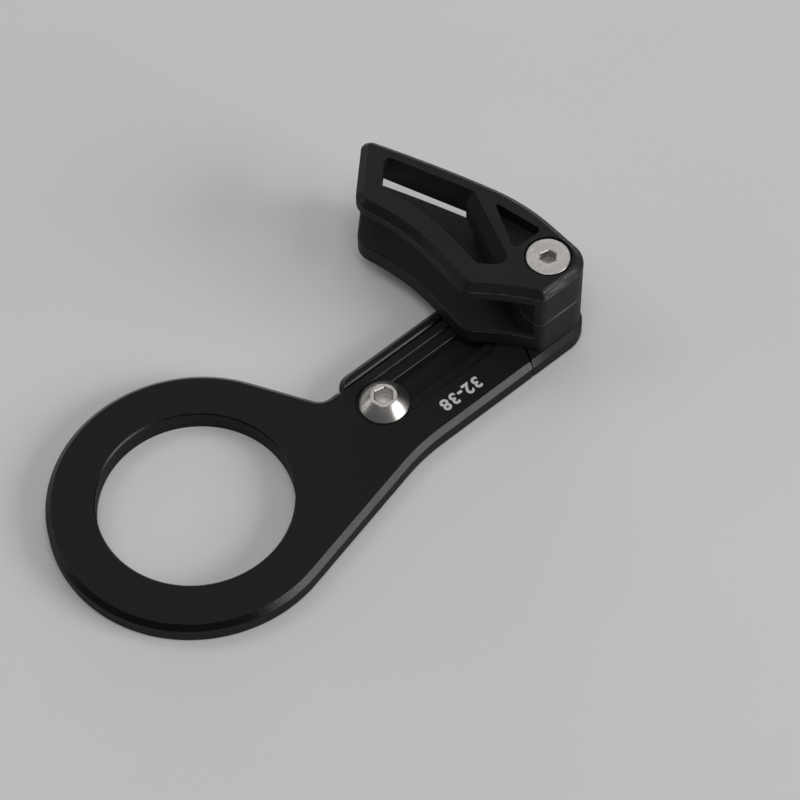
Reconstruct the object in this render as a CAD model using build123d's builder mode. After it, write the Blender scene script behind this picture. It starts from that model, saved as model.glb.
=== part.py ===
from build123d import *
import os
from math import cos, radians, sin, tan

# Chain guide that is clamped under the bottom bracket cup, in millimetres.
# The origin is on the bottom bracket's axis, in the face that lies against the frame.
# +Z points away from the frame, and +X runs along the arm towards the cage.
# The base carries a slider on its arm, and the slider carries the two-piece cage for the chain.

# Plate of the base and the slider
plate_thickness = 4.0
edge_chamfer = 1.0
underside_break = 0.3

# Bottom bracket ring
bore_diameter = 35.0
bore_chamfer = 0.3
ring_width = 8.75

# Neck and arm of the base
arm_front = 18.45
arm_width = 18.55
neck_front_angle = 13.0
neck_front_radius = 40.0
neck_back_angle = 29.7
neck_back_step = 0.75
neck_back_radius = 3.0

# Clamp bolt with a button head, in a stepped slot of the base
clamp_reach = 11.6
slot_setback = 6.7
travel = 20.0
clamp_thread = 5.0
clamp_head_diameter = 9.2
clamp_head_height = 2.65
clamp_head_rim = 0.4
clamp_head_flat = 4.8
clamp_socket = 3.0
clamp_socket_depth = 1.9
clamp_socket_angle = 48.0
clamp_dome_rise = 0.1
clamp_tip_height = 0.2
head_seat_gap = 0.05
recess_depth = 0.6
recess_clearance = 0.2
slot_clearance = 0.15
slot_end_room = 0.5
slot_edge_break = 0.1
thread_clearance = 0.03
thread_tip_chamfer = 0.4
clamp_socket_mouth = 0.22

# Seam between the end of the base and the block of the slider
seam_reach = 4.55
seam_angle = 26.0
seam_gap = 0.2
seam_break = 0.3

# Slider: a tongue under the base's arm, a rail along its back edge and a block at the end
tongue_thickness = 2.1
tongue_setback = 5.15
tongue_corner_radius = 2.0
tongue_top_clearance = 0.1
tongue_side_clearance = 0.15
tongue_past_bolt = 4.35
rail_gap = 0.25
rail_width = 2.35
rail_chamfer = 0.35
rail_tip_radius = 3.2
slider_left_clearance = 0.35
slider_past_cage = 0.1
slider_end_radius = 6.3

# Countersunk cage screw, from the seam and from the arm's front edge
screw_past_seam = 9.9
screw_setback = 7.3
screw_thread = 4.0
screw_head_diameter = 8.0
screw_head_rim = 0.25
screw_head_break = 0.12
screw_length = 20.0
screw_sink = 0.1
screw_socket = 2.5
screw_socket_depth = 2.0
screw_socket_angle = 44.0
screw_socket_mouth = 0.22
screw_head_angle = 90.0
screw_hole_clearance = 0.2
screw_seat_gap = 0.02
screw_well_gap = 0.4
screw_well_depth = 0.8

# Pegs that keep the cage from turning about the screw, as far from the screw as given
peg_x = 1.5
peg_y = 6.55
peg_diameter = 3.0
peg_length = 1.8
peg_clearance = 0.1
peg_room = 0.3

# Heights of the cage: two plates with the chain's channel between them, joined at a pillar
inner_lift = 0.4
inner_plate = 3.6
channel_width = 9.3
outer_plate = 3.5
half_split = 4.2
cage_chamfer = 1.4
channel_edge_break = 0.35
half_split_break = 0.25

# Outline of the cage: walls round the screw's well, and places as far from the screw as given
boss_front_wall = 1.8
boss_corner_wall = 2.2
boss_end_wall = 1.4
cage_bend_x = -15.65
cage_bend_y = 4.55
front_hollow = 0.47
front_lean_angle = 4.2
front_straight = 9.1
front_arc_radius = 45.0
front_arc_angle = 24.2
tip_angle = 44.4
tip_length = 15.4
back_bulge = 0.5
shoulder_y = 11.95
shoulder_radius = 40.0
cage_bend_radius = 2.8

# Corner radii that are left at the cage's top face, inside the chamfer
tip_front_top_radius = 2.6
tip_back_top_radius = 0.4
end_top_radius = 3.8
corner_top_radius = 0.2

# Pillar of the cage, whose lower half stands back under the upper one on the window's side
pillar_setback = 0.9
pillar_step = 1.1
pillar_end_angle = 15.0
pillar_radius = 0.6
foot_gap = 0.4

# Skirt of the outer half, under the back border of its plate
skirt_drop = 3.4
skirt_break = 0.3

# Window of the outer half, with a front border of even width; its tip is given from the cage's tip
window_border = 4.85
window_straight = 6.15
window_arc_angle = 21.0
window_tip_x = 0.13
window_tip_y = 6.39
window_side_x = 0.0
window_side_y = 19.65
window_heel_x = -5.95
window_heel_y = 2.65
window_back_draft = 0.35
window_side_draft = 1.25
window_draft_depth = 4.1
window_corner_radius = 1.1
window_heel_radius = 1.9

# Pocket of the outer half
pocket_wall = 0.65
pocket_apex_x = 1.05
pocket_apex_y = 15.5
pocket_back_x = 3.2
pocket_front_x = -3.7
pocket_depth = 3.0
pocket_apex_radius = 0.35
pocket_corner_radius = 0.8

# Stock that is cut away, and how near a size has to be to count as the same
stock_margin = 10.0
tolerance = 0.01

# Places and heights that follow from the sizes above
ring_radius = bore_diameter / 2 + ring_width
base_back = arm_width - arm_front
rail_inner = base_back + rail_gap
slider_back = rail_inner + rail_width
clamp_x = ring_radius + clamp_reach
slot_y = base_back - slot_setback
seam_front = clamp_x + travel + slot_end_room + seam_reach
slider_left = clamp_x - tongue_past_bolt
tongue_front = tongue_setback - arm_front
channel_height = tongue_thickness + tongue_top_clearance
recess_floor = plate_thickness - recess_depth
inner_bottom = plate_thickness + inner_lift
inner_top = inner_bottom + inner_plate
outer_bottom = inner_top + channel_width
cage_top = outer_bottom + outer_plate
split_height = inner_top + half_split
screw_x = seam_front + screw_past_seam
screw_y = screw_setback - arm_front
head_slant = tan(radians(screw_head_angle / 2))
screw_hole_radius = screw_thread / 2 + screw_hole_clearance
countersink_radius = screw_head_diameter / 2 + (screw_sink + screw_head_rim) * head_slant + screw_seat_gap
screw_well_radius = screw_head_diameter / 2 + screw_well_gap
cage_front = screw_y - screw_well_radius - boss_front_wall
cage_corner_x = screw_x - screw_well_radius - boss_corner_wall
cage_end = screw_x + screw_well_radius + boss_end_wall
slider_end = cage_end + slider_past_cage
pillar_wall = cage_corner_x - pillar_setback


def polar(radius: float, angle: float) -> tuple[float, float]:
    """Gives the point at a radius and an angle in degrees about the bottom bracket's axis."""
    return (radius * cos(radians(angle)), radius * sin(radians(angle)))


def step(point: tuple[float, float], turn: float, length: float) -> tuple[float, float]:
    """Gives the point a length away from another one, in a direction in degrees."""
    return (point[0] + length * cos(radians(turn)), point[1] + length * sin(radians(turn)))


def arc_point(start: tuple[float, float], heading: float, radius: float, sweep: float) -> tuple[float, float]:
    """Gives the point reached by turning left from a start and a heading, all angles in degrees."""
    middle = step(start, heading + 90, radius)
    return step(middle, heading - 90 + sweep, radius)


def from_screw(x: float, y: float) -> tuple[float, float]:
    """Gives the point that lies x and y away from the cage screw's axis."""
    return (screw_x + x, screw_y + y)


def tangent_x(angle: float, y: float) -> float:
    """Gives x at a height y on the line that touches the ring at an angle in degrees."""
    return (ring_radius - y * sin(radians(angle))) / cos(radians(angle))


def seam_x(y: float) -> float:
    """Gives x of the leaning seam at a place y across the arm."""
    return seam_front + (y + arm_front) * tan(radians(seam_angle))


def left_of_seam(y_low: float, y_high: float, shift: float) -> list[tuple[float, float]]:
    """Gives the corners of the area left of the seam between two places across the arm."""
    left = slider_left - stock_margin
    return [(left, y_low), (seam_x(y_low) + shift, y_low), (seam_x(y_high) + shift, y_high), (left, y_high)]


def right_of_seam(y_low: float, y_high: float, shift: float) -> list[tuple[float, float]]:
    """Gives the corners of the area right of the seam between two places across the arm."""
    right = max(slider_end, cage_end, seam_x(y_high)) + stock_margin
    return [(seam_x(y_low) + shift, y_low), (right, y_low), (right, y_high), (seam_x(y_high) + shift, y_high)]


def side_moved(start: tuple[float, float], end: tuple[float, float], inset: float) -> Axis:
    """Gives the line through two points after it is moved to its right by an inset."""
    along = (Vector(*end) - Vector(*start)).normalized()
    return Axis(Vector(*start) + Vector(along.Y, -along.X) * inset, along)


def crossing(first: Axis, second: Axis) -> tuple[float, float]:
    """Gives the point where two lines in the plan cross."""
    between = second.position - first.position
    turn = first.direction.X * second.direction.Y - first.direction.Y * second.direction.X
    reach = (between.X * second.direction.Y - between.Y * second.direction.X) / turn
    place = first.position + first.direction * reach
    return (place.X, place.Y)


os.makedirs("parts", exist_ok=True)

# Base plate: the ring and the arm are one flat plate
neck_front_turn = neck_front_angle - 90
neck_back_edge = base_back + neck_back_step
neck_front_corner = (tangent_x(neck_front_turn, -arm_front), -arm_front)
neck_back_corner = (tangent_x(neck_back_angle, neck_back_edge), neck_back_edge)
arm_stock_end = seam_x(neck_back_edge) + stock_margin
with BuildSketch() as base_plan:
    with BuildLine():
        CenterArc((0, 0), ring_radius, neck_back_angle, 360 + neck_front_turn - neck_back_angle)
        Polyline(
            polar(ring_radius, neck_front_turn),
            neck_front_corner,
            (arm_stock_end, -arm_front),
            (arm_stock_end, neck_back_edge),
            neck_back_corner,
            polar(ring_radius, neck_back_angle),
        )
    make_face()
    fillet(base_plan.vertices().sort_by_distance(neck_front_corner)[0], neck_front_radius)
    fillet(base_plan.vertices().sort_by_distance(neck_back_corner)[0], neck_back_radius)

recess_radius = clamp_head_diameter / 2 + recess_clearance
slot_radius = clamp_thread / 2 + slot_clearance
slot_run = travel + 2 * slot_end_room
slot_middle = clamp_x + travel / 2
channel_front = tongue_front - tongue_side_clearance
channel_left = slider_left - slider_left_clearance
with BuildPart() as base_plate:
    add(base_plan.sketch)
    extrude(amount=plate_thickness)
    chamfer(base_plate.faces().sort_by(Axis.Z)[-1].edges(), edge_chamfer)
    chamfer(base_plate.faces().sort_by(Axis.Z)[0].edges(), underside_break)
    Hole(bore_diameter / 2)
    bore_rims = base_plate.edges().filter_by(GeomType.CIRCLE)
    bore_rims = bore_rims.filter_by(lambda rim: abs(rim.radius - bore_diameter / 2) < tolerance)
    chamfer(bore_rims.sort_by(Axis.Z)[-1], bore_chamfer)
    # The end is cut off along the leaning seam
    with BuildSketch() as base_end:
        Polygon(*right_of_seam(-arm_front - stock_margin, slider_back + stock_margin, 0), align=None)
    extrude(amount=plate_thickness, mode=Mode.SUBTRACT)
    # The rail of the slider runs along the back edge
    with BuildSketch() as rail_space:
        with Locations((channel_left, base_back)):
            Rectangle(arm_stock_end, stock_margin, align=(Align.MIN, Align.MIN))
    extrude(amount=plate_thickness, mode=Mode.SUBTRACT)
    # The tongue of the slider runs in a channel of the underside
    with BuildSketch() as tongue_channel:
        with Locations((channel_left, channel_front)):
            Rectangle(arm_stock_end, base_back - channel_front + stock_margin, align=(Align.MIN, Align.MIN))
        channel_corner = tongue_channel.vertices().sort_by_distance((channel_left, channel_front))[0]
        fillet(channel_corner, tongue_corner_radius)
    extrude(amount=channel_height, mode=Mode.SUBTRACT)
    # The bolt's shank runs in the slot, and its head in the recess
    with BuildSketch(Plane.XY.offset(recess_floor)) as recess:
        with Locations((slot_middle, slot_y)):
            SlotCenterToCenter(slot_run, 2 * recess_radius)
    extrude(amount=recess_depth, mode=Mode.SUBTRACT)
    with BuildSketch() as slot:
        with Locations((slot_middle, slot_y)):
            SlotCenterToCenter(slot_run, 2 * slot_radius)
    extrude(amount=plate_thickness, mode=Mode.SUBTRACT)
    for height in (plate_thickness, recess_floor):
        level = base_plate.faces().filter_by(Axis.Z).filter_by_position(Axis.Z, height, height)
        rims = [w for w in level[0].inner_wires() if w.bounding_box().min.X > bore_diameter / 2]
        chamfer([e for w in rims for e in w.edges()], slot_edge_break)
    seam_face = base_plate.faces().sort_by(Axis.X)[-1]
    chamfer(seam_face.edges().group_by(Axis.Z)[-1], seam_break)
base_plate.part.label = "base_plate"
export_step(base_plate.part, "parts/base_plate.step")

# Slider: a plate with the same chamfer, cut away where the base's arm lies on it
peg_place = from_screw(peg_x, peg_y)
with BuildPart() as slider:
    with BuildSketch() as slider_plan:
        with Locations((slider_left, -arm_front)):
            Rectangle(slider_end - slider_left, slider_back + arm_front, align=(Align.MIN, Align.MIN))
        fillet(slider_plan.vertices().sort_by(Axis.X)[-2:], slider_end_radius)
        fillet(slider_plan.vertices().sort_by_distance((slider_left, slider_back))[0], rail_tip_radius)
    extrude(amount=plate_thickness)
    chamfer(slider.faces().sort_by(Axis.Z)[-1].edges(), edge_chamfer)
    with BuildSketch() as front_space:
        Polygon(*left_of_seam(-arm_front - stock_margin, tongue_front, seam_gap), align=None)
    extrude(amount=plate_thickness, mode=Mode.SUBTRACT)
    with BuildSketch(Plane.XY.offset(tongue_thickness)) as arm_space:
        Polygon(*left_of_seam(-arm_front - stock_margin, rail_inner, seam_gap), align=None)
    extrude(amount=plate_thickness - tongue_thickness, mode=Mode.SUBTRACT)
    tongue_corner = slider.edges().filter_by(Axis.Z).sort_by_distance((slider_left, tongue_front, 0))[0]
    fillet(tongue_corner, tongue_corner_radius)
    rail_edges = slider.edges().filter_by(Axis.X).filter_by_position(Axis.Y, rail_inner, rail_inner)
    chamfer(rail_edges.sort_by(Axis.Z)[-1], rail_chamfer)
    chamfer(slider.faces().sort_by(Axis.Z)[0].edges(), underside_break)
    with Locations((clamp_x, slot_y)):
        Hole(clamp_thread / 2 + thread_clearance)
    with Locations((screw_x, screw_y)):
        Hole(screw_thread / 2 + thread_clearance)
    with Locations((*peg_place, plate_thickness)):
        Hole(peg_diameter / 2 + peg_clearance, peg_length + peg_room)
slider.part.label = "slider"
export_step(slider.part, "parts/slider.step")

# Clamp bolt: a turned dome on a plain shank that ends inside the tongue
clamp_seat = recess_floor + head_seat_gap
clamp_top = clamp_seat + clamp_head_height
clamp_middle = Plane((clamp_x, slot_y, clamp_seat), x_dir=(1, 0, 0), z_dir=(0, -1, 0))
with BuildPart() as clamp_bolt:
    with BuildSketch(clamp_middle) as clamp_profile:
        with BuildLine():
            head_side = (clamp_head_diameter / 2, clamp_head_rim)
            head_flat = (clamp_head_flat / 2, clamp_head_height)
            shank_tip = clamp_tip_height - clamp_seat
            Polyline(
                head_flat,
                (0, clamp_head_height),
                (0, shank_tip),
                (clamp_thread / 2 - thread_tip_chamfer, shank_tip),
                (clamp_thread / 2, shank_tip + thread_tip_chamfer),
                (clamp_thread / 2, 0),
                (clamp_head_diameter / 2, 0),
                head_side,
            )
            SagittaArc(head_flat, head_side, clamp_dome_rise)
        make_face()
    revolve(axis=Axis((clamp_x, slot_y, 0), (0, 0, 1)))
    with BuildSketch(Plane.XY.offset(clamp_top)) as clamp_hexagon:
        with Locations((clamp_x, slot_y)):
            RegularPolygon(clamp_socket / 2, 6, major_radius=False, rotation=clamp_socket_angle)
    extrude(amount=-clamp_socket_depth, mode=Mode.SUBTRACT)
    clamp_mouth = clamp_bolt.faces().sort_by(Axis.Z)[-1].inner_wires()[0]
    chamfer(clamp_mouth.edges(), clamp_socket_mouth)
clamp_bolt.part.label = "clamp_bolt"
export_step(clamp_bolt.part, "parts/clamp_bolt.step")

# Plan of the cage, the same for both halves
front_heading = 90 - front_lean_angle
cage_bend = from_screw(cage_bend_x, cage_bend_y)
front_bow = step(cage_bend, front_heading, front_straight)
front_middle = arc_point(front_bow, front_heading, front_arc_radius, front_arc_angle / 2)
tip_front = arc_point(front_bow, front_heading, front_arc_radius, front_arc_angle)
tip_back = step(tip_front, tip_angle, tip_length)
shoulder = (cage_end, screw_y + shoulder_y)
end_corner = (cage_end, cage_front)
cage_corner = (cage_corner_x, cage_front)
with BuildSketch() as cage_plan:
    with BuildLine():
        Line(cage_bend, front_bow)
        ThreePointArc(front_bow, front_middle, tip_front)
        Line(tip_front, tip_back)
        SagittaArc(tip_back, shoulder, back_bulge)
        Polyline(shoulder, end_corner, cage_corner)
        SagittaArc(cage_bend, cage_corner, front_hollow)
    make_face()
    for corner, radius in (
        (cage_bend, cage_bend_radius),
        (tip_front, cage_chamfer + tip_front_top_radius),
        (tip_back, cage_chamfer + tip_back_top_radius),
        (shoulder, shoulder_radius),
        (end_corner, cage_chamfer + end_top_radius),
        (cage_corner, cage_chamfer + corner_top_radius),
    ):
        fillet(cage_plan.vertices().sort_by_distance(corner)[0], radius)

# Window of the outer half: its back and side walls slope inwards before they go straight down
window_bow = step(front_bow, front_heading - 90, window_border)
window_front = step(window_bow, front_heading, -window_straight)
window_radius = front_arc_radius + window_border
window_middle = arc_point(window_bow, front_heading, window_radius, window_arc_angle / 2)
window_crown = arc_point(window_bow, front_heading, window_radius, window_arc_angle)
window_tip = (tip_back[0] - window_tip_x, tip_back[1] - window_tip_y)
window_side = from_screw(window_side_x, window_side_y)
window_heel = from_screw(window_heel_x, window_heel_y)
back_line = side_moved(window_tip, window_side, window_back_draft)
side_line = side_moved(window_side, window_heel, window_side_draft)
throat_tip = crossing(side_moved(window_crown, window_tip, 0), back_line)
throat_side = crossing(back_line, side_line)
throat_heel = crossing(side_line, side_moved(window_heel, window_front, 0))


def window_plan(tip: tuple[float, float], side: tuple[float, float], heel: tuple[float, float]) -> Sketch:
    """Draws the window from its three back corners; its front edge follows the cage's front edge.

    Args:
        tip: corner at the cage's tip.
        side: corner at the cage's back.
        heel: corner at the pillar's foot.

    Returns:
        The window's face in the plan.
    """
    with BuildSketch() as plan:
        with BuildLine():
            Line(window_front, window_bow)
            ThreePointArc(window_bow, window_middle, window_crown)
            Polyline(window_crown, tip, side, heel, window_front)
        make_face()
        for corner in (window_front, window_crown, tip, side):
            fillet(plan.vertices().sort_by_distance(corner)[0], window_corner_radius)
        fillet(plan.vertices().sort_by_distance(heel)[0], window_heel_radius)
    return plan.sketch


window_mouth = window_plan(window_tip, window_side, window_heel)
window_throat = window_plan(throat_tip, throat_side, throat_heel)

# Plan of the pillar that joins the two plates; its slanting side carries on the window's side wall
def pillar_plan(side: Axis) -> Sketch:
    """Draws the pillar, from the cage's outline to a line along the window's side.

    Args:
        side: the line of the slanting side.

    Returns:
        The pillar's face in the plan.
    """
    bend = crossing(side, Axis((pillar_wall, 0), (0, 1)))
    corner = crossing(back_line, side)
    far = step(corner, pillar_end_angle, cage_end)
    low = cage_front - stock_margin
    with BuildSketch() as plan:
        add(cage_plan.sketch)
        Polygon((pillar_wall, low), bend, corner, far, (far[0], low), align=None, mode=Mode.INTERSECT)
        fillet(plan.vertices().sort_by_distance(corner)[0], pillar_radius)
    return plan.sketch


outer_pillar_plan = pillar_plan(side_line)
inner_pillar_plan = pillar_plan(side_moved(window_side, window_heel, window_side_draft - pillar_step))

# Plan of the skirt, the border between the window and the cage's back edge
back_run = back_line.direction * stock_margin
back_out = Vector(-back_run.Y, back_run.X)
with BuildSketch() as skirt_plan:
    add(cage_plan.sketch)
    Polygon(
        Vector(*throat_tip) - back_run,
        Vector(*throat_side) + back_run,
        Vector(*throat_side) + back_run + back_out,
        Vector(*throat_tip) - back_run + back_out,
        align=None,
        mode=Mode.INTERSECT,
    )

# Inner half of the cage: a whole plate, with a foot on the slider's block
with BuildPart() as cage_inner:
    with BuildSketch(Plane.XY.offset(inner_bottom)) as inner_plan:
        add(cage_plan.sketch)
    extrude(amount=inner_plate)
    chamfer(cage_inner.faces().sort_by(Axis.Z)[-1].edges(), channel_edge_break)
    with BuildSketch(Plane.XY.offset(inner_bottom)) as inner_pillar:
        add(inner_pillar_plan)
    extrude(amount=split_height - inner_bottom)
    chamfer(cage_inner.faces().sort_by(Axis.Z)[-1].edges(), half_split_break)
    with BuildSketch(Plane.XY.offset(plate_thickness)) as foot:
        add(inner_pillar_plan)
        foot_side = right_of_seam(cage_front - stock_margin, tip_back[1], foot_gap)
        Polygon(*foot_side, align=None, mode=Mode.INTERSECT)
    extrude(amount=inner_lift)
    with Locations((*peg_place, plate_thickness)):
        Cylinder(peg_diameter / 2, peg_length, align=(Align.CENTER, Align.CENTER, Align.MAX))
    with Locations((*peg_place, split_height)):
        Hole(peg_diameter / 2 + peg_clearance, peg_length + peg_room)
    with Locations((screw_x, screw_y)):
        Hole(screw_hole_radius)
cage_inner.part.label = "cage_inner"
export_step(cage_inner.part, "parts/cage_inner.step")

# Outer half of the cage: a chamfered plate with a skirt, the window, the pocket and the screw's countersink
chamfer_foot = cage_top - cage_chamfer
draft_foot = cage_top - window_draft_depth
skirt_bottom = outer_bottom - skirt_drop
pocket_heel = screw_well_radius + pocket_wall
with BuildPart() as cage_outer:
    with BuildSketch(Plane.XY.offset(outer_bottom)) as outer_plan:
        add(cage_plan.sketch)
    extrude(amount=outer_plate)
    chamfer(cage_outer.faces().sort_by(Axis.Z)[-1].edges(), cage_chamfer)
    chamfer(cage_outer.faces().sort_by(Axis.Z)[0].edges(), channel_edge_break)
    with BuildSketch(Plane.XY.offset(skirt_bottom)) as skirt:
        add(skirt_plan.sketch)
    extrude(amount=chamfer_foot - skirt_bottom)
    chamfer(cage_outer.faces().sort_by(Axis.Z)[0].edges(), skirt_break)
    with BuildSketch(Plane.XY.offset(split_height)) as outer_pillar:
        add(outer_pillar_plan)
    extrude(amount=chamfer_foot - split_height)
    chamfer(cage_outer.faces().sort_by(Axis.Z)[0].edges(), half_split_break)
    with BuildSketch(Plane.XY.offset(cage_top)) as mouth:
        add(window_mouth)
    with BuildSketch(Plane.XY.offset(draft_foot)) as throat:
        add(window_throat)
    loft(ruled=True, mode=Mode.SUBTRACT)
    with BuildSketch(Plane.XY.offset(split_height)) as opening:
        add(window_throat)
    extrude(amount=draft_foot - split_height, mode=Mode.SUBTRACT)
    with BuildSketch(Plane.XY.offset(cage_top)) as pocket:
        Polygon(
            from_screw(pocket_apex_x, pocket_apex_y),
            from_screw(pocket_back_x, pocket_heel),
            from_screw(pocket_front_x, pocket_heel),
            align=None,
        )
        fillet(pocket.vertices().sort_by(Axis.Y)[-1], pocket_apex_radius)
        fillet(pocket.vertices().sort_by(Axis.Y)[:2], pocket_corner_radius)
    extrude(amount=-pocket_depth, mode=Mode.SUBTRACT)
    with Locations((screw_x, screw_y, cage_top)):
        CounterSinkHole(screw_hole_radius, countersink_radius, counter_sink_angle=screw_head_angle)
        Hole(screw_well_radius, screw_well_depth)
    with Locations((*peg_place, split_height)):
        Cylinder(peg_diameter / 2, peg_length, align=(Align.CENTER, Align.CENTER, Align.MAX))
cage_outer.part.label = "cage_outer"
export_step(cage_outer.part, "parts/cage_outer.step")

# Cage screw: a countersunk head, flush in the outer half
screw_top = cage_top - screw_sink
head_slope = (screw_head_diameter - screw_thread) / 2 / head_slant
screw_middle = Plane((screw_x, screw_y, screw_top), x_dir=(1, 0, 0), z_dir=(0, -1, 0))
with BuildPart() as cage_screw:
    with BuildSketch(screw_middle) as screw_profile:
        with BuildLine():
            Polyline(
                (0, 0),
                (screw_head_diameter / 2 - screw_head_break, 0),
                (screw_head_diameter / 2, -screw_head_break),
                (screw_head_diameter / 2, -screw_head_rim),
                (screw_thread / 2, -screw_head_rim - head_slope),
                (screw_thread / 2, thread_tip_chamfer - screw_length),
                (screw_thread / 2 - thread_tip_chamfer, -screw_length),
                (0, -screw_length),
                close=True,
            )
        make_face()
    revolve(axis=Axis((screw_x, screw_y, 0), (0, 0, 1)))
    with BuildSketch(Plane.XY.offset(screw_top)) as screw_hexagon:
        with Locations((screw_x, screw_y)):
            RegularPolygon(screw_socket / 2, 6, major_radius=False, rotation=screw_socket_angle)
    extrude(amount=-screw_socket_depth, mode=Mode.SUBTRACT)
    screw_mouth = cage_screw.faces().sort_by(Axis.Z)[-1].inner_wires()[0]
    chamfer(screw_mouth.edges(), screw_socket_mouth)
cage_screw.part.label = "cage_screw"
export_step(cage_screw.part, "parts/cage_screw.step")
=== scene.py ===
import logging
import math
from dataclasses import dataclass
from enum import Enum
from typing import Any

import bpy
from mathutils import Matrix, Vector


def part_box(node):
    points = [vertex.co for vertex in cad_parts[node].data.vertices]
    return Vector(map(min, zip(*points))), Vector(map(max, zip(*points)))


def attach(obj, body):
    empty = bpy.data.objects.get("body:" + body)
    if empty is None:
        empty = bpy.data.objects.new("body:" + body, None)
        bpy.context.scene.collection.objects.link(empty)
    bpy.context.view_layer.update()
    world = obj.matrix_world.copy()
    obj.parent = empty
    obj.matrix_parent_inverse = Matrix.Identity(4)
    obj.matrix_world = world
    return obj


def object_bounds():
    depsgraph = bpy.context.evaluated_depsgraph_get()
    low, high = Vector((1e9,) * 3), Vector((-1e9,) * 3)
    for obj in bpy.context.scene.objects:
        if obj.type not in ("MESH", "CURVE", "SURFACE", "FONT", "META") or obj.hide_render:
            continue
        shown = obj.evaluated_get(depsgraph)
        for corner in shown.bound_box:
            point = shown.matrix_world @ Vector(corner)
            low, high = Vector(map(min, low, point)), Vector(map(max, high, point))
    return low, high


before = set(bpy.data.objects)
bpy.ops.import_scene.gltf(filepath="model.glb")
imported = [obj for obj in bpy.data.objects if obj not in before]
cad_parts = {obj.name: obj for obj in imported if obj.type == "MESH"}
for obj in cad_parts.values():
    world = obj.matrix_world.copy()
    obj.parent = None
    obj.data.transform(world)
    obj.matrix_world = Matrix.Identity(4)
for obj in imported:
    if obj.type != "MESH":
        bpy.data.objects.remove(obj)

# A chain guide in black anodised aluminium, with a moulded cage and stainless bolts.
# Everything is in metres in the model's own frame; sizes that end in _mm are in millimetres.

MM = 0.001
NOISE_MIDDLE = 0.5
CAD_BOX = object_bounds()

log = logging.getLogger("chain_guide")

Point = tuple[float, float, float]
Colour = tuple[float, float, float, float]
Span = tuple[float, float]

ORIGIN: Point = (0.0, 0.0, 0.0)
EVEN: Point = (1.0, 1.0, 1.0)


class Node(Enum):
    """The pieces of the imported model."""

    BASE_PLATE = "base_plate"
    SLIDER = "slider"
    CLAMP_BOLT = "clamp_bolt"
    CAGE_OUTER = "cage_outer"
    CAGE_INNER = "cage_inner"
    CAGE_SCREW = "cage_screw"


class Signal:
    """One output socket of a shader, used as a number in Python expressions."""

    def __init__(self, sheet: "ShaderSheet", socket: bpy.types.NodeSocket) -> None:
        """Keeps the socket and the sheet that it is drawn on."""
        self.sheet = sheet
        self.socket = socket

    def __add__(self, other: "Signal | float") -> "Signal":
        """Adds a number or another signal."""
        return self.sheet.maths("ADD", self, other)

    def __radd__(self, other: float) -> "Signal":
        """Adds this signal to a number."""
        return self.sheet.maths("ADD", other, self)

    def __sub__(self, other: "Signal | float") -> "Signal":
        """Takes away a number or another signal."""
        return self.sheet.maths("SUBTRACT", self, other)

    def __rsub__(self, other: float) -> "Signal":
        """Takes this signal away from a number."""
        return self.sheet.maths("SUBTRACT", other, self)

    def __mul__(self, other: "Signal | float") -> "Signal":
        """Multiplies by a number or another signal."""
        return self.sheet.maths("MULTIPLY", self, other)

    def __rmul__(self, other: float) -> "Signal":
        """Multiplies a number by this signal."""
        return self.sheet.maths("MULTIPLY", other, self)

    def __truediv__(self, other: float) -> "Signal":
        """Divides by a number."""
        return self.sheet.maths("DIVIDE", self, other)

    def __pow__(self, power: float) -> "Signal":
        """Raises to a power."""
        return self.sheet.maths("POWER", self, power)


@dataclass(frozen=True)
class Grain:
    """A noise: features in a millimetre, octaves, distortion and a stretch on each axis."""

    per_mm: float
    detail: float = 2.0
    sway: float = 0.0
    stretch: Point = EVEN


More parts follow.
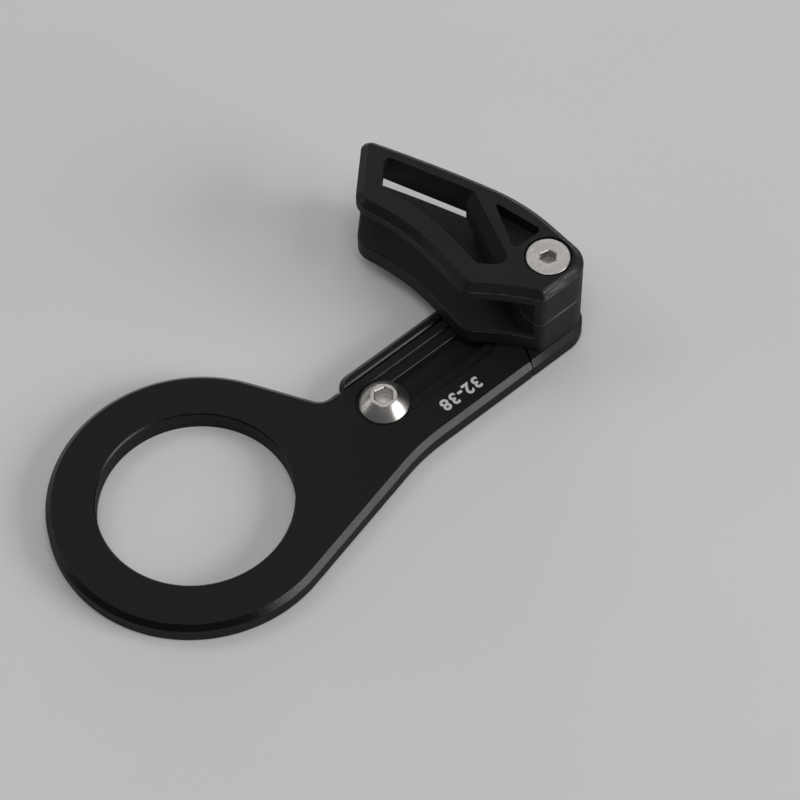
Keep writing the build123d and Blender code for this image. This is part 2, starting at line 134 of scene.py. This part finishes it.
class ShaderSheet:
    """The node tree of one material, written as expressions."""

    BEVEL_SAMPLES = 6
    WALL_RISE: Span = (0.40, 0.15)
    SLOPE_FOOT: Span = (0.45, 0.60)
    SLOPE_HEAD: Span = (0.90, 0.78)
    BROW_TURN: Span = (0.004, 0.03)
    BROW_FOOT: Span = (0.08, 0.30)
    BROW_HEAD: Span = (0.66, 0.46)

    def __init__(self, name: str) -> None:
        """Starts an empty material.

        Args:
            name: the material's name.
        """
        self.material = bpy.data.materials.new(name)
        self.material.use_nodes = True
        self.tree = self.material.node_tree
        self.tree.nodes.clear()

    def node(
        self, kind: str, settings: dict[str, Any] | None = None, sockets: dict[str | int, Any] | None = None
    ) -> bpy.types.Node:
        """Adds any node.

        Args:
            kind: the node's type.
            settings: its properties, which are set first.
            sockets: values or signals for its inputs, by name or by place.

        Returns:
            The new node.
        """
        made = self.tree.nodes.new(kind)
        for key, value in (settings or {}).items():
            setattr(made, key, value)
        for key, value in (sockets or {}).items():
            if isinstance(value, Signal):
                self.tree.links.new(value.socket, made.inputs[key])
            else:
                made.inputs[key].default_value = value
        return made

    def signal(self, made: bpy.types.Node, output: str | int = 0) -> Signal:
        """Gives an output of a node as a signal."""
        return Signal(self, made.outputs[output])

    def maths(self, operation: str, first: Signal | float, second: Signal | float) -> Signal:
        """Adds one Math node.

        Args:
            operation: the node's operation.
            first: its first value.
            second: its second value.

        Returns:
            The node's value.
        """
        return self.signal(self.node("ShaderNodeMath", {"operation": operation}, {0: first, 1: second}))

    def sine(self, angle: Signal) -> Signal:
        """Gives the sine of an angle in radians."""
        return self.signal(self.node("ShaderNodeMath", {"operation": "SINE"}, {0: angle}))

    def vector(
        self, operation: str, first: Signal, second: Signal | Point, output: str = "Vector"
    ) -> Signal:
        """Adds one Vector Math node.

        Args:
            operation: the node's operation.
            first: its first vector.
            second: its second vector.
            output: the output that is wanted.

        Returns:
            The node's result.
        """
        made = self.node("ShaderNodeVectorMath", {"operation": operation}, {0: first, 1: second})
        return self.signal(made, output)

    def blend(self, amount: Signal, first: Signal | Colour, second: Signal | Colour) -> Signal:
        """Mixes two colours.

        Args:
            amount: share of the second colour.
            first: colour at 0.
            second: colour at 1.

        Returns:
            The mixed colour.
        """
        made = self.node("ShaderNodeMix", {"data_type": "RGBA"}, {0: amount, 6: first, 7: second})
        return self.signal(made, 2)

    def ease(self, value: Signal, span: Span) -> Signal:
        """Gives a smooth step from 0 to 1.

        Args:
            value: the signal to read.
            span: the value that gives 0 and the one that gives 1.

        Returns:
            The eased signal.
        """
        made = self.node(
            "ShaderNodeMapRange",
            {"interpolation_type": "SMOOTHSTEP"},
            {"Value": value, "From Min": span[0], "From Max": span[1]},
        )
        return self.signal(made)

    def place_mm(self, centre: Point = ORIGIN, stretch: Point = EVEN) -> Signal:
        """Gives the place on the piece in millimetres.

        Args:
            centre: point that counts as zero, in millimetres.
            stretch: factor on each axis.

        Returns:
            The place as a vector.
        """
        raw = self.signal(self.node("ShaderNodeTexCoord"), "Object")
        scaled = self.vector("MULTIPLY", raw, (1 / MM, 1 / MM, 1 / MM))
        moved = self.vector("SUBTRACT", scaled, centre)
        return self.vector("MULTIPLY", moved, stretch)

    def noise(self, grain: Grain, centre: Point = ORIGIN) -> Signal:
        """Adds a noise.

        Args:
            grain: how fine it is and how it is drawn out.
            centre: point that counts as zero, in millimetres.

        Returns:
            The noise, about 0.5 on average.
        """
        made = self.node(
            "ShaderNodeTexNoise",
            {"noise_dimensions": "3D"},
            {
                "Vector": self.place_mm(centre, grain.stretch),
                "Scale": grain.per_mm,
                "Detail": grain.detail,
                "Distortion": grain.sway,
            },
        )
        return self.signal(made, "Fac")

    def pits(self, per_mm: float) -> Signal:
        """Gives the distance to the nearest of many scattered pits."""
        sockets = {"Vector": self.place_mm(), "Scale": per_mm}
        return self.signal(self.node("ShaderNodeTexVoronoi", {"feature": "F1"}, sockets), "Distance")

    def soft_normal(self, radius_mm: float) -> Signal:
        """Gives normals that round every edge by a radius."""
        settings = {"samples": self.BEVEL_SAMPLES}
        return self.signal(self.node("ShaderNodeBevel", settings, {"Radius": radius_mm * MM}))

    def facing(self) -> Signal:
        """Gives the way that the flat ground faces."""
        return self.signal(self.node("ShaderNodeNewGeometry"), "Normal")

    def edge(self, radius_mm: float) -> Signal:
        """Gives a mask that is 0 on flat ground and rises towards edges within a radius."""
        return 1 - self.vector("DOT_PRODUCT", self.soft_normal(radius_mm), self.facing(), "Value")

    def part(self, vector: Signal, axis: str) -> Signal:
        """Gives one part of a vector, by the letter of its axis."""
        return self.signal(self.node("ShaderNodeSeparateXYZ", None, {0: vector}), axis)

    def rise(self, normal: Signal) -> Signal:
        """Gives how far a normal points up, from -1 to 1."""
        return self.part(normal, "Z")

    def brow(self, radius_mm: float) -> Signal:
        """Gives a mask of the edges that lie between a slope and the wall below it.

        Args:
            radius_mm: how far the mask reaches from an edge.

        Returns:
            The mask.
        """
        rise = self.rise(self.soft_normal(radius_mm))
        turn = self.ease(self.edge(radius_mm), self.BROW_TURN)
        return turn * self.ease(rise, self.BROW_FOOT) * self.ease(rise, self.BROW_HEAD)

    def wall(self) -> Signal:
        """Gives a mask of the ground that stands upright or hangs over."""
        return self.ease(self.rise(self.facing()), self.WALL_RISE)

    def slope(self) -> Signal:
        """Gives a mask of the ground that slopes at about 45 degrees."""
        rise = self.rise(self.facing())
        return self.ease(rise, self.SLOPE_FOOT) * self.ease(rise, self.SLOPE_HEAD)

    def relief(self, height: Signal, depth_mm: float, strength: float, round_mm: float) -> Signal:
        """Turns a height into a normal, on softly rounded edges.

        Args:
            height: the height, from 0 to 1.
            depth_mm: how deep 1 is.
            strength: share of the relief that shows.
            round_mm: radius of the edges.

        Returns:
            The normal.
        """
        sockets = {
            "Strength": strength,
            "Distance": depth_mm * MM,
            "Height": height,
            "Normal": self.soft_normal(round_mm),
        }
        return self.signal(self.node("ShaderNodeBump", None, sockets))

    def close(self, sockets: dict[str, Any]) -> bpy.types.Material:
        """Ends the sheet with one surface shader.

        Args:
            sockets: values or signals for the shader's inputs.

        Returns:
            The finished material.
        """
        shader = self.node("ShaderNodeBsdfPrincipled", None, sockets)
        self.node("ShaderNodeOutputMaterial", None, {"Surface": self.signal(shader)})
        return self.material


@dataclass(frozen=True)
class AnodisedFinish:
    """Black anodised aluminium: a fine satin grain, glossy cut slopes, and paler edges that are partly
    rubbed wear and partly a painted highlight.
    """

    name: str = "black_anodised"
    colour: Colour = (0.0027, 0.0027, 0.0029, 1.0)
    cloud_colour: Colour = (0.0040, 0.0040, 0.0042, 1.0)
    spark_colour: Colour = (0.026, 0.026, 0.027, 1.0)
    # pale edge colour: partly rubbed wear, partly a painted highlight on the edges
    worn_and_highlight_colour: Colour = (0.15, 0.15, 0.154, 1.0)
    spark_share: float = 0.7
    worn_and_highlight_share: float = 0.5
    specular: float = 0.32
    ior: float = 1.5
    roughness: float = 0.60
    wall_roughness: float = 0.10
    cut_roughness: float = -0.33
    cloud_roughness: float = 0.10
    grain_roughness: float = 0.20
    wipe_roughness: float = 0.05
    # X where the cut slopes are dull, and X where they are glossy; the plate ends before both
    cut_span_mm: Span = (100.0, 90.0)
    grain: Grain = Grain(6.5, 3.0)
    cloud: Grain = Grain(0.07, 3.0, 0.4)
    wipe: Grain = Grain(0.55, 4.0, 0.8, (0.25, 1.6, 1.0))
    chip: Grain = Grain(0.8, 4.0)
    spark: Grain = Grain(7.5, 1.0)
    cloud_span: Span = (0.3, 0.75)
    wipe_span: Span = (0.56, 0.8)
    chip_span: Span = (0.42, 0.68)
    chip_least: float = 0.45
    spark_span: Span = (0.66, 0.80)
    rub_and_highlight_span: Span = (0.015, 0.22)
    grain_depth_mm: float = 0.034
    grain_strength: float = 0.80
    edge_mm: float = 0.16
    round_mm: float = 0.07

    def build(self) -> bpy.types.Material:
        """Makes the material.

        Returns:
            The finished material.
        """
        sheet = ShaderSheet(self.name)
        grain = sheet.noise(self.grain)
        cloud = sheet.noise(self.cloud)
        wipe = sheet.ease(sheet.noise(self.wipe), self.wipe_span)
        spark = sheet.ease(sheet.noise(self.spark), self.spark_span)
        # paler edges: partly rubbed wear, partly a painted highlight along every edge
        rub_and_highlight = sheet.ease(sheet.edge(self.edge_mm), self.rub_and_highlight_span)
        chip = sheet.ease(sheet.noise(self.chip), self.chip_span)
        worn_and_highlight = rub_and_highlight * (self.chip_least + (1 - self.chip_least) * chip)
        cut = sheet.slope() * sheet.ease(sheet.part(sheet.place_mm(), "X"), self.cut_span_mm)
        ground = sheet.blend(sheet.ease(cloud, self.cloud_span), self.colour, self.cloud_colour)
        ground = sheet.blend(spark * self.spark_share, ground, self.spark_colour)
        rough = self.roughness + (cloud - NOISE_MIDDLE) * self.cloud_roughness
        rough = rough + (grain - NOISE_MIDDLE) * self.grain_roughness + wipe * self.wipe_roughness
        return sheet.close(
            {
                "Base Color": sheet.blend(worn_and_highlight * self.worn_and_highlight_share, ground, self.worn_and_highlight_colour),
                "Roughness": rough + sheet.wall() * self.wall_roughness + cut * self.cut_roughness,
                "Metallic": 0.0,
                "Specular IOR Level": self.specular,
                "IOR": self.ior,
                "Normal": sheet.relief(grain, self.grain_depth_mm, self.grain_strength, self.round_mm),
            }
        )


@dataclass(frozen=True)
class SteelFinish:
    """Stainless steel, turned: faint rings about the bolt's axis, and a socket with painted shade on its
    walls and painted light on its floor.
    """

    name: str
    axis_mm: Point
    top_mm: float
    socket_mm: float
    # painted shade on the socket's upright walls
    socket_shade_colour: Colour
    colour: Colour = (0.74, 0.715, 0.685, 1.0)
    dull_colour: Colour = (0.63, 0.60, 0.57, 1.0)
    # painted light on the socket's floor
    socket_floor_light_colour: Colour = (0.92, 0.885, 0.865, 1.0)
    socket_shade_share: float = 0.8
    socket_floor_light_share: float = 0.9
    roughness: float = 0.31
    smudge_roughness: float = 0.14
    ring_roughness: float = 0.06
    mottle_roughness: float = 0.20
    socket_roughness: float = 0.12
    floor_roughness: float = 0.08
    wobble: Grain = Grain(1.2)
    grit: Grain = Grain(9.0, 3.0)
    smudge: Grain = Grain(0.45, 3.0, 0.6)
    mottle: Grain = Grain(1.9, 3.0, 0.5)
    dull_span: Span = (0.36, 0.66)
    mouth_span_mm: Span = (0.02, -0.10)
    depth_span_mm: Span = (-0.05, -0.45)
    upright_span: Span = (0.6, 0.3)
    ring_pitch_mm: float = 0.14
    ring_wobble_mm: float = 0.05
    ring_relief: float = 0.25
    grit_relief: float = 0.15
    mottle_relief: float = 0.60
    relief_mm: float = 0.022
    relief_strength: float = 0.35
    round_mm: float = 0.20

    def build(self) -> bpy.types.Material:
        """Makes the material.

        Returns:
            The finished material.
        """
        sheet = ShaderSheet(self.name)
        place = sheet.place_mm(self.axis_mm)
        across, along, height = (sheet.part(place, axis) for axis in ("X", "Y", "Z"))
        radius = (across * across + along * along) ** 0.5
        wobble = sheet.noise(self.wobble, self.axis_mm)
        grit = sheet.noise(self.grit, self.axis_mm)
        smudge = sheet.noise(self.smudge, self.axis_mm)
        mottle = sheet.noise(self.mottle, self.axis_mm)
        turn = (radius + wobble * self.ring_wobble_mm) / self.ring_pitch_mm * math.tau
        rings = 0.5 + 0.5 * sheet.sine(turn)
        inside = sheet.ease(radius - self.socket_mm, self.mouth_span_mm)
        below = sheet.ease(height - self.top_mm, self.depth_span_mm)
        upright = sheet.ease(sheet.rise(sheet.facing()), self.upright_span)
        # painted shade: darkens the socket's upright walls
        socket = inside * below * upright
        floor = inside * below * (1 - upright)
        stain = sheet.ease(0.5 * (smudge + mottle), self.dull_span)
        metal = sheet.blend(stain, self.colour, self.dull_colour)
        # paints light onto the socket's floor
        metal = sheet.blend(floor * self.socket_floor_light_share, metal, self.socket_floor_light_colour)
        rough = self.roughness + (smudge - NOISE_MIDDLE) * self.smudge_roughness
        rough = rough + (rings - NOISE_MIDDLE) * self.ring_roughness
        rough = rough + (mottle - NOISE_MIDDLE) * self.mottle_roughness
        skin = rings * self.ring_relief + grit * self.grit_relief + mottle * self.mottle_relief
        return sheet.close(
            {
                "Base Color": sheet.blend(socket * self.socket_shade_share, metal, self.socket_shade_colour),
                "Roughness": rough + socket * self.socket_roughness + floor * self.floor_roughness,
                "Metallic": 1.0,
                "Normal": sheet.relief(skin, self.relief_mm, self.relief_strength, self.round_mm),
            }
        )


@dataclass(frozen=True)
class PlasticFinish:
    """Moulded black nylon: a fine eroded grain, faint flow marks, and paler edges, chamfer feet and front
    slopes that are partly rubbed wear and partly a painted highlight.
    """

    name: str
    colour: Colour = (0.0046, 0.0046, 0.0046, 1.0)
    flow_colour: Colour = (0.0070, 0.0070, 0.0072, 1.0)
    # pale colour for edges and front slopes: partly rubbed wear, partly a painted highlight
    worn_and_highlight_colour: Colour = (0.17, 0.17, 0.168, 1.0)
    worn_and_highlight_share: float = 0.8
    edge_share: float = 0.35
    scratch_highlight_share: float = 0.16
    specular: float = 0.37
    ior: float = 1.5
    roughness: float = 0.55
    wall_roughness: float = 0.14
    slope_roughness: float = -0.13
    drag_roughness: float = 0.18
    flow_roughness: float = 0.12
    grain_roughness: float = 0.18
    worn_roughness: float = -0.10
    grain: Grain = Grain(4.5, 3.0)
    flow: Grain = Grain(0.16, 4.0, 1.2, (1.0, 0.35, 0.6))
    scuff: Grain = Grain(0.9, 5.0, 0.5, (2.2, 0.5, 1.0))
    streak: Grain = Grain(1.1, 4.0, 0.7, (0.30, 2.4, 2.4))
    pits_per_mm: float = 3.2
    flow_span: Span = (0.3, 0.75)
    scuff_span: Span = (0.36, 0.60)
    scuff_least: float = 0.20
    streak_span: Span = (0.56, 0.74)
    drag_span: Span = (0.60, 0.40)
    front_span: Span = (-0.40, -0.10)
    rub_and_highlight_span: Span = (0.010, 0.12)
    pit_span: Span = (0.0, 0.55)
    pit_relief: float = 0.35
    grain_relief: float = 0.65
    grain_depth_mm: float = 0.03
    grain_strength: float = 0.40
    edge_mm: float = 0.15
    round_mm: float = 0.10

    def build(self) -> bpy.types.Material:
        """Makes the material.

        Returns:
            The finished material.
        """
        sheet = ShaderSheet(self.name)
        grain = sheet.noise(self.grain)
        flow = sheet.noise(self.flow)
        streaks = sheet.noise(self.streak)
        scuff = sheet.ease(sheet.noise(self.scuff), self.scuff_span)
        slope = sheet.slope()
        front = slope * sheet.ease(sheet.part(sheet.facing(), "X"), self.front_span)
        # front-facing slopes streaked paler: partly scratches, partly a painted highlight
        scratch_and_highlight = front * sheet.ease(streaks, self.streak_span)
        dragged = front * sheet.ease(streaks, self.drag_span)
        # paler edges and chamfer feet: partly rubbed wear, partly painted highlight lines
        rub_and_highlight = sheet.ease(sheet.edge(self.edge_mm), self.rub_and_highlight_span) * self.edge_share
        rub_and_highlight = rub_and_highlight + sheet.brow(self.edge_mm)
        worn_and_highlight = rub_and_highlight * (self.scuff_least + (1 - self.scuff_least) * scuff) + scratch_and_highlight * self.scratch_highlight_share
        ground = sheet.blend(sheet.ease(flow, self.flow_span), self.colour, self.flow_colour)
        pits = sheet.ease(sheet.pits(self.pits_per_mm), self.pit_span)
        skin = grain * self.grain_relief + pits * self.pit_relief
        rough = self.roughness + (flow - NOISE_MIDDLE) * self.flow_roughness
        rough = rough + (grain - NOISE_MIDDLE) * self.grain_roughness
        rough = rough + slope * self.slope_roughness + dragged * self.drag_roughness
        return sheet.close(
            {
                "Base Color": sheet.blend(worn_and_highlight * self.worn_and_highlight_share, ground, self.worn_and_highlight_colour),
                "Roughness": rough + worn_and_highlight * self.worn_roughness + sheet.wall() * self.wall_roughness,
                "Metallic": 0.0,
                "Specular IOR Level": self.specular,
                "IOR": self.ior,
                "Normal": sheet.relief(skin, self.grain_depth_mm, self.grain_strength, self.round_mm),
            }
        )


@dataclass(frozen=True)
class InkFinish:
    """White printed ink with a slightly open, speckled film."""

    name: str = "white_ink"
    colour: Colour = (0.70, 0.70, 0.69, 1.0)
    thin_colour: Colour = (0.48, 0.48, 0.475, 1.0)
    roughness: float = 0.55
    speckle_roughness: float = 0.2
    speckle: Grain = Grain(5.0, 3.0)
    speckle_span: Span = (0.5, 0.72)

    def build(self) -> bpy.types.Material:
        """Makes the material.

        Returns:
            The finished material.
        """
        sheet = ShaderSheet(self.name)
        speckle = sheet.noise(self.speckle)
        thin = sheet.ease(speckle, self.speckle_span)
        return sheet.close(
            {
                "Base Color": sheet.blend(thin, self.colour, self.thin_colour),
                "Roughness": self.roughness + (speckle - NOISE_MIDDLE) * self.speckle_roughness,
            }
        )


@dataclass(frozen=True)
class FloorFinish:
    """A pale plain studio floor."""

    name: str = "pale_floor"
    colour: Colour = (0.88, 0.88, 0.877, 1.0)
    cloud_colour: Colour = (0.85, 0.85, 0.85, 1.0)
    roughness: float = 0.6
    specular: float = 0.0
    cloud: Grain = Grain(0.012)
    cloud_span: Span = (0.2, 0.8)

    def build(self) -> bpy.types.Material:
        """Makes the material.

        Returns:
            The finished material.
        """
        sheet = ShaderSheet(self.name)
        cloud = sheet.ease(sheet.noise(self.cloud), self.cloud_span)
        return sheet.close(
            {
                "Base Color": sheet.blend(cloud, self.colour, self.cloud_colour),
                "Roughness": self.roughness,
                "Specular IOR Level": self.specular,
            }
        )


def dress(node: Node, material: bpy.types.Material) -> None:
    """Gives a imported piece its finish.

    Args:
        node: the piece.
        material: the finish for all its faces.
    """
    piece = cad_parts[node.value]
    for holder in piece.material_slots:
        holder.material = material
    if not piece.material_slots:
        piece.data.materials.append(material)
    log.info("dressed %s in %s", node.value, material.name)


def bolt_finish(node: Node, socket_mm: float, socket_shade_colour: Colour) -> SteelFinish:
    """Gives the steel for a bolt that stands upright.

    Args:
        node: the bolt.
        socket_mm: radius of its socket's mouth.
        socket_shade_colour: painted shade for its socket's walls.

    Returns:
        The finish, centred on the bolt's axis.
    """
    low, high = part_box(node.value)
    axis = ((low[0] + high[0]) / 2 / MM, (low[1] + high[1]) / 2 / MM, 0.0)
    return SteelFinish(f"stainless_{node.value}", axis, high[2] / MM, socket_mm, socket_shade_colour)


@dataclass
class BaseArm:
    """The ring and arm with its slot, and the numbers printed beside the slot."""

    numbers: str = "32-38"
    number_height_mm: float = 2.3
    height_share: float = 0.69
    number_spacing: float = 1.18
    stroke_gain_mm: float = 0.11
    curve_steps: int = 6
    number_place_mm: tuple[float, float] = (49.3, -14.3)
    number_turn_deg: float = 180.0
    ink_mm: float = 0.012
    finish: AnodisedFinish = AnodisedFinish()
    ink: InkFinish = InkFinish()

    def build(self) -> None:
        """Dresses the plate and prints the numbers."""
        dress(Node.BASE_PLATE, self.finish.build())
        self._print_numbers()

    def _print_numbers(self) -> None:
        """Prints the numbers on the arm's face."""
        words = bpy.data.curves.new("size_numbers", "FONT")
        words.body = self.numbers
        words.align_x = "CENTER"
        words.align_y = "CENTER"
        words.size = self.number_height_mm / self.height_share * MM
        words.space_character = self.number_spacing
        words.offset = self.stroke_gain_mm * MM
        words.extrude = self.ink_mm / 2 * MM
        words.resolution_u = self.curve_steps
        words.materials.append(self.ink.build())
        printed = bpy.data.objects.new("size_numbers", words)
        bpy.context.scene.collection.objects.link(printed)
        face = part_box("base_plate")[1][2]
        across, along = self.number_place_mm
        spot = Vector((across * MM, along * MM, face + self.ink_mm / 2 * MM))
        turn = Matrix.Rotation(math.radians(self.number_turn_deg), 4, "Z")
        printed.matrix_world = Matrix.Translation(spot) @ turn
        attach(printed, "base")
        log.info("printed %s", printed.name)


@dataclass
class SlidingArm:
    """The slider under the arm, with the bolt that clamps it."""

    socket_mm: float = 1.85
    # painted shade for the clamp bolt's socket walls
    socket_shade_colour: Colour = (0.56, 0.52, 0.48, 1.0)
    finish: AnodisedFinish = AnodisedFinish("black_anodised_slider", cut_span_mm=(69.0, 60.0))

    def build(self) -> None:
        """Dresses the slider and its clamp bolt."""
        dress(Node.SLIDER, self.finish.build())
        steel = bolt_finish(Node.CLAMP_BOLT, self.socket_mm, self.socket_shade_colour)
        dress(Node.CLAMP_BOLT, steel.build())


@dataclass
class ChainCage:
    """The two moulded halves of the cage and the screw that holds them."""

    socket_mm: float = 1.5
    # painted shade for the cage screw's socket walls
    socket_shade_colour: Colour = (0.20, 0.18, 0.165, 1.0)
    outer_finish: PlasticFinish = PlasticFinish("moulded_nylon_outer")
    inner_finish: PlasticFinish = PlasticFinish("moulded_nylon_inner")

    def build(self) -> None:
        """Dresses both halves and the screw."""
        dress(Node.CAGE_OUTER, self.outer_finish.build())
        dress(Node.CAGE_INNER, self.inner_finish.build())
        steel = bolt_finish(Node.CAGE_SCREW, self.socket_mm, self.socket_shade_colour)
        dress(Node.CAGE_SCREW, steel.build())


@dataclass(frozen=True)
class Softbox:
    """One soft lamp, placed by the direction it shines from."""

    name: str
    side: Point
    distance: float
    size: tuple[float, float]
    power: float

    def build(self, target: Vector) -> None:
        """Hangs the lamp.

        Args:
            target: the point that it shines at.
        """
        lamp = bpy.data.lights.new(self.name, "AREA")
        lamp.shape = "RECTANGLE"
        lamp.size, lamp.size_y = self.size
        lamp.energy = self.power
        hung = bpy.data.objects.new(self.name, lamp)
        bpy.context.scene.collection.objects.link(hung)
        away = Vector(self.side).normalized()
        turn = away.to_track_quat("Z", "Y").to_matrix().to_4x4()
        hung.matrix_world = Matrix.Translation(target + away * self.distance) @ turn


@dataclass
class Studio:
    """Floor, lamps, world and the camera at the photo's angle."""

    floor_size: float = 3.0
    floor_gap_mm: float = 0.02
    floor_finish: FloorFinish = FloorFinish()
    world_colour: Colour = (1.0, 1.0, 1.0, 1.0)
    world_strength: float = 0.10
    target_mm: Point = (35.0, 0.0, 6.0)
    camera_mm: Point = (-137.065, -221.096, 417.341)
    ahead: Point = (0.3563, 0.4278, -0.8307)
    rightward: Point = (0.75460, -0.65603, -0.01418)
    lens_mm: float = 125.51
    sensor_mm: float = 36.0
    near_clip: float = 0.01
    softboxes: tuple[Softbox, ...] = (
        Softbox("overhead_softbox", (0.36, 0.43, 0.83), 0.9, (0.56, 0.56), 0.53),
        Softbox("back_left_softbox", (-0.28, 0.62, 0.73), 0.8, (0.50, 0.35), 0.55),
        Softbox("front_right_softbox", (0.46, -0.80, 0.39), 1.3, (0.87, 0.55), 8.4),
        Softbox("left_softbox", (-0.66, 0.70, 0.24), 0.8, (0.30, 0.22), 0.22),
        Softbox("back_right_softbox", (0.66, 0.73, 0.18), 0.8, (0.60, 0.30), 1.0),
        Softbox("ceiling_softbox", (-0.15, -0.20, 0.97), 0.9, (0.45, 0.45), 1.5),
    )

    def build(self) -> None:
        """Sets up the studio."""
        self._lay_floor()
        self._light_world()
        for softbox in self.softboxes:
            softbox.build(Vector(self.target_mm) * MM)
        self._place_camera()

    def _lay_floor(self) -> None:
        """Lays the floor just under the guide."""
        half = self.floor_size / 2
        low = CAD_BOX[0][2] - self.floor_gap_mm * MM
        mesh = bpy.data.meshes.new("studio_floor")
        corners = [(-half, -half, low), (half, -half, low), (half, half, low), (-half, half, low)]
        mesh.from_pydata(corners, [], [(0, 1, 2, 3)])
        mesh.materials.append(self.floor_finish.build())
        floor = bpy.data.objects.new("studio_floor", mesh)
        bpy.context.scene.collection.objects.link(floor)

    def _light_world(self) -> None:
        """Fills the room with even light."""
        world = bpy.data.worlds.new("studio_room")
        world.use_nodes = True
        backdrop = world.node_tree.nodes["Background"]
        backdrop.inputs["Color"].default_value = self.world_colour
        backdrop.inputs["Strength"].default_value = self.world_strength
        bpy.context.scene.world = world

    def _place_camera(self) -> None:
        """Places the camera where the photo was taken."""
        lens = bpy.data.cameras.new("photo_camera")
        lens.lens = self.lens_mm
        lens.sensor_width = self.sensor_mm
        lens.clip_start = self.near_clip
        camera = bpy.data.objects.new("photo_camera", lens)
        bpy.context.scene.collection.objects.link(camera)
        ahead = Vector(self.ahead).normalized()
        right = Vector(self.rightward)
        right = (right - ahead * right.dot(ahead)).normalized()
        up = right.cross(ahead)
        turn = Matrix((right, up, -ahead)).transposed().to_4x4()
        camera.matrix_world = Matrix.Translation(Vector(self.camera_mm) * MM) @ turn
        bpy.context.scene.camera = camera


def main() -> None:
    """Builds the pieces in order, then the studio."""
    logging.basicConfig(level=logging.INFO, format="%(name)s: %(message)s")
    bpy.context.scene.view_settings.view_transform = "Standard"
    BaseArm().build()
    SlidingArm().build()
    ChainCage().build()
    Studio().build()


if __name__ == "__main__":
    main()
